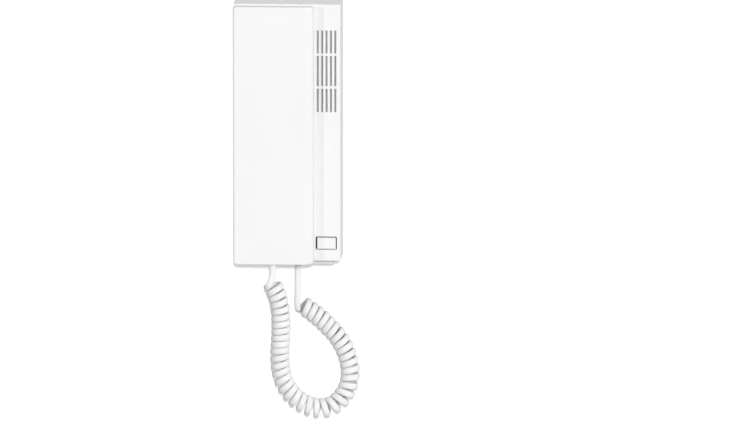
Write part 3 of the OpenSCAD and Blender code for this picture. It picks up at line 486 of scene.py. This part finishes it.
# Outline of the door button's cap: its face and the chamfer round that
cap_deep, cap_chamfer = -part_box("door_button")[0].y, 0.6 * MM
cap_points = [v.co for v in nodes["door_button"].data.vertices if abs(v.co.y + cap_deep) < CLOSE]
cap_edge = Vector((cap_chamfer, 0, cap_chamfer))
cap_low = Vector([min(p[k] for p in cap_points) for k in range(3)]) - cap_edge
cap_high = Vector([max(p[k] for p in cap_points) for k in range(3)]) + cap_edge
cover_low, cover_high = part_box("front_cover")
cover_front = -cover_low.y
# The gap round it in the cover, and how much wider that is at the left
cap_gap, gap_deep, gap_left = 0.8 * MM, 4 * MM, 0.45 * MM
# Painted shade in the button's gap, where the cover's colour is darkened: how far it reaches past the gap's
# sides, below the cap and above the gap, and how far behind the cover's front it starts
gap_shade_side, gap_shade_under, gap_shade_over, gap_shade_in = 0.4 * MM, 0.8 * MM, 2 * MM, 0.2 * MM
painted_shade_low = (cap_low.x - cap_gap - gap_left - gap_shade_side, gap_shade_in - cover_front, cap_low.z - gap_shade_under)
painted_shade_high = (cap_high.x + cap_gap + gap_shade_side, gap_deep - cover_front, cap_high.z + cap_gap + gap_shade_over)
painted_shade_soft = (0.3 * MM, 0.3 * MM, 1.8 * MM)

# The white plastic carries painted shade in the gap round the door button
white_plastic = moulded("white_plastic", grey(0.91, -0.003), 0.50,
                        painted_shade=(painted_shade_low, painted_shade_high, painted_shade_soft))
plate_plastic = moulded("plate_plastic", grey(0.80, -0.002), 0.52, 0.04 * MM)
cord_jacket = jacket("cord_jacket", grey(0.91, -0.002))
pale_rubber = soft_rubber("pale_rubber", grey(0.74))
dark_rubber = soft_rubber("dark_rubber", grey(0.028))
zinc = plated("zinc", (0.60, 0.61, 0.63, 1))
drawn_aluminium = plated("drawn_aluminium", (0.72, 0.73, 0.74, 1), 0.28)
ferrite = plated("ferrite", (0.10, 0.10, 0.105, 1), 0.55)
grille_weave = weave("grille_weave", grey(0.46), grey(0.60), 0.5 * MM)
terminal_green = moulded("terminal_green", (0.035, 0.20, 0.085, 1), 0.42)
switch_black = moulded("switch_black", grey(0.022), 0.45)
plunger_red = moulded("plunger_red", (0.42, 0.03, 0.022, 1), 0.4)
capsule_grey = moulded("capsule_grey", grey(0.16), 0.42)
board_green = solder_mask("board_green")
# Middle of the rings on the speaker's cone and on the receiver's foil
ear = sum(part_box("speaker_cone"), Vector()) / 2
cone_paper = pressed_rings("cone_paper", grey(0.03), ear, 1.2 * MM, 0.0, 0.8, 0.15 * MM)
pressed_foil = pressed_rings("pressed_foil", (0.55, 0.56, 0.57, 1), ear, 1.6 * MM, 1.0, 0.25, 0.1 * MM)


# Handset's front shell: a box with rounded corners whose face is drawn forward ring by ring
hand_low, hand_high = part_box("handset_front")
hand_r, hand_wall, soft_deep = 2.5 * MM, 2 * MM, 6 * MM
crown, crown_in = 0.5 * MM, 24 * MM
# Width and depth of the soft edges
soft_left, soft_ends = (2 * MM, 3 * MM), (0.5 * MM, 0.5 * MM)
# The right edge eases into a slope, which a tighter round ends
slope_in, slope_ease, slope_tip, slope = 7.6 * MM, 3.5 * MM, 1.0 * MM, radians(21)
ease_steps, tip_steps = 24, 16
corner_steps, soft_rings, crown_rings = 10, 32, 16
gland_hole, gland_hole_high, gland_hole_sides = 3.45 * MM, 10 * MM, 40
# Angle in degrees above which the shell's edges stay sharp
shell_sharp = 40


def round_in(edge, below):
    """How far a soft edge has come in at a depth below the rim."""
    wide, deep = edge
    return 0.0 if below >= deep else wide * (1 - sqrt(1 - (1 - below / deep) ** 2))


def slope_profile():
    """Depths below the rim down the right edge, and how far it has come in there."""
    belows, ins = [], []
    for k in range(ease_steps):
        share = k / ease_steps
        belows.append(tan(slope) * slope_ease * (share ** 3 - share ** 4 / 2))
        ins.append(slope_in - slope_ease * share)
    tip_below = tan(slope) * (slope_in - slope_ease / 2 - slope_tip)
    tip_r = slope_tip / (1 - sin(slope))
    for k in range(tip_steps + 1):
        angle = slope + (pi / 2 - slope) * k / tip_steps
        belows.append(tip_below + tip_r * (cos(slope) - cos(angle)))
        ins.append(slope_tip - tip_r * (sin(angle) - sin(slope)))
    return belows, ins


slope_belows, slope_ins = slope_profile()


def slope_at(below):
    """How far the right edge has come in at a depth below the rim."""
    return 0.0 if below >= slope_belows[-1] else between(slope_belows, slope_ins, below)


def draw_face(bm, face, low, high, deep):
    """Draws a face forward to a new outline and depth, and gives the new face."""
    made = bmesh.ops.extrude_face_region(bm, geom=[face])["geom"]
    verts = [v for v in made if isinstance(v, bmesh.types.BMVert)]
    new = [g for g in made if isinstance(g, bmesh.types.BMFace)][0]
    bmesh.ops.delete(bm, geom=[face], context="FACES_ONLY")
    old_low = Vector([min(v.co[i] for v in verts) for i in range(3)])
    old_high = Vector([max(v.co[i] for v in verts) for i in range(3)])
    middle = (old_low + old_high) / 2
    scale = Vector(((high[0] - low[0]) / (old_high.x - old_low.x), 1,
                    (high[1] - low[1]) / (old_high.z - old_low.z)))
    bmesh.ops.scale(bm, vec=scale, verts=verts, space=Matrix.Translation(-middle))
    target = Vector(((high[0] + low[0]) / 2, -deep, (high[1] + low[1]) / 2))
    bmesh.ops.translate(bm, vec=target - middle, verts=verts)
    return new


def shell_skin(bm, inset):
    """Open skin of the handset, set in from its outside, drawn from its rear rim to its face."""
    low, high = hand_low + Vector((inset, 0, inset)), hand_high - Vector((inset, 0, inset))
    rear, rim = -hand_high.y, -hand_low.y - inset - crown
    before = set(bm.faces)
    verts = bmesh.ops.create_cube(bm, size=1)["verts"]
    size = Vector((high.x - low.x, rim - soft_deep - rear, high.z - low.z))
    bmesh.ops.scale(bm, vec=size, verts=verts)
    middle = Vector(((low.x + high.x) / 2, -(rear + size.y / 2), (low.z + high.z) / 2))
    bmesh.ops.translate(bm, vec=middle, verts=verts)
    corners = [e for e in dict.fromkeys(e for v in verts for e in v.link_edges)
               if abs((e.verts[0].co - e.verts[1].co).y) > size.y / 2]
    bmesh.ops.bevel(bm, geom=corners, offset=hand_r - inset / 2, offset_type="OFFSET", affect="EDGES",
                    segments=corner_steps, profile=0.5, material=-1)
    bm.normal_update()
    mine = [q for q in bm.faces if q not in before]
    face = min(mine, key=lambda q: q.normal.y)
    back = max(mine, key=lambda q: q.normal.y)
    rim_loop = list(back.edges)
    bmesh.ops.delete(bm, geom=[back], context="FACES_ONLY")
    for k in range(1, soft_rings + 1):
        below = soft_deep * (1 - sin(pi / 2 * k / soft_rings))
        left, right, ends = round_in(soft_left, below), slope_at(below), round_in(soft_ends, below)
        face = draw_face(bm, face, (low.x + left, low.z + ends), (high.x - right, high.z - ends),
                         rim - below)
    for k in range(1, crown_rings + 1):
        share = k / crown_rings
        c = crown_in * share
        face = draw_face(bm, face, (low.x + soft_left[0] + c, low.z + soft_ends[0] + c),
                         (high.x - slope_in - c, high.z - soft_ends[0] - c),
                         rim + crown * share * share * (3 - 2 * share))
    return rim_loop


def handset_shell():
    """Outer and inner skin, joined at the rear rim."""
    bm = bmesh.new()
    outside = shell_skin(bm, 0)
    skin = set(bm.faces)
    inside = shell_skin(bm, hand_wall)
    bmesh.ops.reverse_faces(bm, faces=[q for q in bm.faces if q not in skin])
    bmesh.ops.bridge_loops(bm, edges=outside + inside)
    return link("handset_shell", made_mesh(bm, "handset_shell"))


def bore(piece, centre, radius, height, sides):
    """Upright round hole through a piece."""
    bm = bmesh.new()
    bmesh.ops.create_cone(bm, cap_ends=True, segments=sides, radius1=radius, radius2=radius, depth=height,
                          matrix=Matrix.Translation(centre))
    drill = link("drill", made_mesh(bm, "drill"))
    hole = piece.modifiers.new("hole", "BOOLEAN")
    hole.operation, hole.solver, hole.object = "DIFFERENCE", "EXACT", drill
    whole = piece.data
    piece.data = evaluated_mesh(piece)
    piece.modifiers.clear()
    piece.data.name = piece.name
    for spent in (whole, drill.data):
        bpy.data.meshes.remove(spent)


shell = handset_shell()
bore(shell, Vector((hand_end.x * MM, hand_end.y * MM, hand_low.z)), gland_hole, gland_hole_high,
     gland_hole_sides)
soften(shell, shell_sharp)
finish_with(shell, white_plastic)
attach(shell, "handset")
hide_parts("handset_front")


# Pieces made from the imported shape: merged copies with smooth faces, two of them reshaped
# Angles in degrees above which edges stay sharp, and above which a rim is rounded
moulding_sharp, rim_sharp = 28, 40
# Distance under which points are merged, and the turn under which faces are one flat face
packed_weld, flat_turn = 2e-6, radians(0.1)


def merged_copy(name, node):
    """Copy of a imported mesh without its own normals, and a bmesh of it with doubled points merged."""
    mesh = nodes[node].data.copy()
    mesh.name = name
    if mesh.has_custom_normals:
        mesh.attributes.remove(mesh.attributes["custom_normal"])
    bm = bmesh.new()
    bm.from_mesh(mesh)
    bmesh.ops.remove_doubles(bm, verts=bm.verts, dist=packed_weld)
    return mesh, bm


def join_flats(bm):
    """Joins the triangles of each flat face."""
    bmesh.ops.dissolve_limit(bm, angle_limit=flat_turn, verts=bm.verts, edges=bm.edges)


def ease_rims(bm, deep, width):
    """Rounds the sharp edges that lie at a depth."""
    rims = [e for e in bm.edges if e.is_manifold and e.calc_face_angle() > radians(rim_sharp)
            and all(abs(v.co.y + deep) < CLOSE for v in e.verts)]
    bmesh.ops.bevel(bm, geom=rims, offset=width, offset_type="OFFSET", affect="EDGES", segments=rim_steps,
                    profile=0.5, material=-1, clamp_overlap=True)


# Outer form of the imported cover: its corners, its front edge and the lean of its right side
cover_r, cover_edge, cover_lean, lean_from = 3.5 * MM, 0.8 * MM, 0.8 * MM, 4.4 * MM
# Powers that make a round tighter, where 2 leaves it as it is
corner_power, edge_power = 5, 4
# How far inside a round a point may lie and still be moved
round_slack = 0.02 * MM
# Round of the rims of the cover's front
rim_ease, rim_steps = 0.3 * MM, 3
# How far into the button's gap points move with its left side
gap_reach = 1.25 * MM
# Rings of the dish in the button's cap: how far in from the cap's outline, and how deep
dish_rings = ((1.6 * MM, 0), (2.3 * MM, 0.25 * MM))


def square_up(a, b, power):
    """How far a point on a round moves out when the round is made tighter."""
    return (a * a + b * b) ** 0.5 / (a ** power + b ** power) ** (1 / power)


def tighten(bm):
    """Draws the cover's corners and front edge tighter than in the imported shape."""
    for vert in bm.verts:
        x, deep, z = vert.co.x, -vert.co.y, vert.co.z
        rise = min(max(deep - cover_front + cover_edge, 0), cover_edge)
        inset = cover_edge - sqrt(cover_edge ** 2 - rise ** 2)
        lean = cover_lean * min(max((deep - lean_from) / (cover_front - cover_edge - lean_from), 0), 1)
        left, right = x - (cover_low.x + inset + cover_r), x - (cover_high.x - lean - inset - cover_r)
        low, high = z - (cover_low.z + inset + cover_r), z - (cover_high.z - inset - cover_r)
        out = Vector((min(left, 0) + max(right, 0), 0, min(low, 0) + max(high, 0)))
        if out.length < cover_r - round_slack:
            continue
        corner = square_up(abs(out.x), abs(out.z), corner_power)
        edge = square_up(cover_edge - inset, rise, edge_power) if rise else 1
        vert.co += out * (corner - 1) + out.normalized() * (cover_edge - inset) * (edge - 1)
        vert.co.y -= rise * (edge - 1)


def open_gap(bm):
    """Opens the gap at the left of the button."""
    start = cap_low.x - cap_gap
    low, high = cap_low.z - cap_gap - CLOSE, cap_high.z + cap_gap + CLOSE
    for vert in bm.verts:
        x, deep, z = vert.co.x, -vert.co.y, vert.co.z
        if start - CLOSE < x < start + gap_reach and deep > cover_front - gap_deep and low < z < high:
            vert.co.x -= gap_left


def dish(bm):
    """Sinks a shallow dish into the face of the button's cap."""
    face = max((f for f in bm.faces if f.normal.y < -0.99 and abs(f.verts[0].co.y + cap_deep) < CLOSE),
               key=lambda f: f.calc_area())
    for rim, deep in dish_rings:
        face = draw_face(bm, face, (cap_low.x + rim, cap_low.z + rim), (cap_high.x - rim, cap_high.z - rim),
                         cap_deep - deep)


def reshape_cover(bm):
    """Tighter corners, a wider gap at the button and eased rims."""
    tighten(bm)
    open_gap(bm)
    join_flats(bm)
    ease_rims(bm, cover_front, rim_ease)


def reshape_button(bm):
    """A dish in the cap's face, once that is one face."""
    join_flats(bm)
    dish(bm)


reshaped = {"front_cover": reshape_cover, "door_button": reshape_button}
body_of = {n: b for b, members in frame["record"]["behaviour"]["bodies"].items() for n in members}
mouldings = {
    "front_cover": white_plastic, "handset_back": white_plastic, "hook_lever": white_plastic,
    "door_button": white_plastic, "back_plate": plate_plastic, "base_gland": pale_rubber,
    "handset_gland": pale_rubber, "cover_screw": zinc, "handset_screws": zinc, "board_screws": zinc,
    "terminal_screws": zinc, "speaker_frame": zinc, "hook_pin": zinc, "hook_spring": zinc,
    "speaker_cone": cone_paper, "speaker_magnet": ferrite, "receiver_capsule": capsule_grey,
    "receiver_diaphragm": pressed_foil, "receiver_gasket": dark_rubber, "mic_capsule": drawn_aluminium,
    "mic_boot": dark_rubber}
for node, material in mouldings.items():
    mesh, bm = merged_copy(node + "_moulding", node)
    if node in reshaped:
        reshaped[node](bm)
    bm.to_mesh(mesh)
    bm.free()
    piece = link(mesh.name, mesh)
    soften(piece, moulding_sharp)
    finish_with(piece, material)
    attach(piece, body_of[node])
    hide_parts(node)

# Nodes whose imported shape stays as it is
kept = {
    "main_board": board_green, "terminal_block": terminal_green, "grille_cloth": grille_weave,
    "hook_switch": switch_black, "hook_plunger": plunger_red, "door_switch": switch_black,
    "door_plunger": capsule_grey}
for node, material in kept.items():
    finish_with(nodes[node], material)

finish_with(cord, cord_jacket)
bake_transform(cord)
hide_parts("curly_cord")


# Floor, wall, light and background: sizes in metres, and what shines by itself
floor_size, floor_high, floor_glow = 8, -0.42, 0.96
wall_size, wall_behind, wall_glow = 0.4, 0.8 * MM, 0.16
sky_level = 0.46


def seen_rays(f):
    """1 for rays from the camera, or from a mirror or glass."""
    camera_ray, glossy, through = f.node("LightPath", out=(
        "Is Camera Ray", "Is Glossy Ray", "Is Transmission Ray"))
    return f.node("Math", {"operation": "ADD", "use_clamp": True}, {0: camera_ray, 1: glossy + through})


def one_sided(f, surface):
    """A surface that shows from its front alone, so that the views from behind see past it."""
    behind = f.node("NewGeometry", out="Backfacing")
    f.node("OutputMaterial", {}, {"Surface": f.node("MixShader", {}, {
        0: behind, 1: surface, 2: f.node("BsdfTransparent")})})


def stage_plane(name, size, turn, where):
    """Square plane for the floor or the wall, and an empty finish for it."""
    bm = bmesh.new()
    bmesh.ops.create_grid(bm, x_segments=1, y_segments=1, size=size,
                          matrix=Matrix.Translation(where) @ Matrix.Rotation(turn, 4, "X"))
    plane = link(name, made_mesh(bm, name))
    return plane, Finish(name)


def pale_floor():
    """Floor that the camera sees almost white, and that throws light up from its paint."""
    plane, f = stage_plane("floor", floor_size, 0, (0, 0, floor_high))
    speck = f.noise(f.where(), 30, 3)
    paint = f.node("BsdfDiffuse", {}, {"Color": f.mix(speck, grey(0.76), grey(0.80))})
    glow = f.node("Emission", {}, {"Color": grey(1.0), "Strength": 1.0})
    one_sided(f, f.node("MixShader", {}, {0: seen_rays(f) * floor_glow, 1: paint, 2: glow}))
    finish_with(plane, f.owner)


def white_wall():
    """The wall that the unit hangs on, which shows its shadow and gives it no light."""
    plane, f = stage_plane("wall", wall_size, radians(90), (0, wall_behind, 0))
    speck = f.noise(f.where(), 400, 3)
    paint = f.node("BsdfDiffuse", {}, {"Color": f.mix(speck, grey(0.98), grey(1.0))})
    glow = f.node("Emission", {}, {"Color": grey(1.0), "Strength": wall_glow})
    one_sided(f, f.node("AddShader", {}, {0: paint, 1: glow}))
    finish_with(plane, f.owner)
    plane.visible_diffuse = plane.visible_glossy = plane.visible_transmission = plane.visible_shadow = False
    return plane


def studio_sky(level):
    """White for the camera, and an even level for the light."""
    scene.world = bpy.data.worlds.new("studio")
    f = Finish("studio", scene.world)
    soft = f.node("Background", {}, {"Color": grey(1.0), "Strength": level})
    white = f.node("Background", {}, {"Color": grey(1.0), "Strength": 1.0})
    f.node("OutputWorld", {}, {"Surface": f.node("MixShader", {}, {0: seen_rays(f), 1: soft, 2: white})})


def lamp(name, turn, rise, spread, share, how, *pieces):
    """Soft lamp far off, for or past some pieces, that adds a share to a white face turned to it."""
    data = bpy.data.lights.new(name, "SUN")
    data.angle, data.energy = radians(spread), share * pi
    holder = link(name, data)
    turn, rise = radians(turn), radians(rise)
    way = Vector((sin(turn) * cos(rise), -cos(turn) * cos(rise), sin(rise)))
    holder.rotation_mode = "QUATERNION"
    holder.rotation_quaternion = way.to_track_quat("Z", "Y")
    lit = bpy.data.collections.new(name + "_lit")
    for piece in pieces:
        lit.objects.link(piece)
    for row in lit.collection_objects:
        row.light_linking.link_state = how
    holder.light_linking.receiver_collection = lit
    return holder


pale_floor()
wall = white_wall()
studio_sky(sky_level)
# Lamps by turn, rise and spread in degrees, and share
lamp("key", 28, 17, 8, 0.51, "EXCLUDE", wall, cord)
lamp("side", -50, 8, 3, 0.18, "EXCLUDE", wall, cord)
lamp("back_fill", 180, 2, 4, 0.36, "EXCLUDE", wall).visible_glossy = False
lamp("cord_light", 24, 15, 8, 0.60, "INCLUDE", cord)
lamp("wall_light", 4, 14, 5, 0.78, "INCLUDE", wall)

scene.view_settings.view_transform = "Standard"
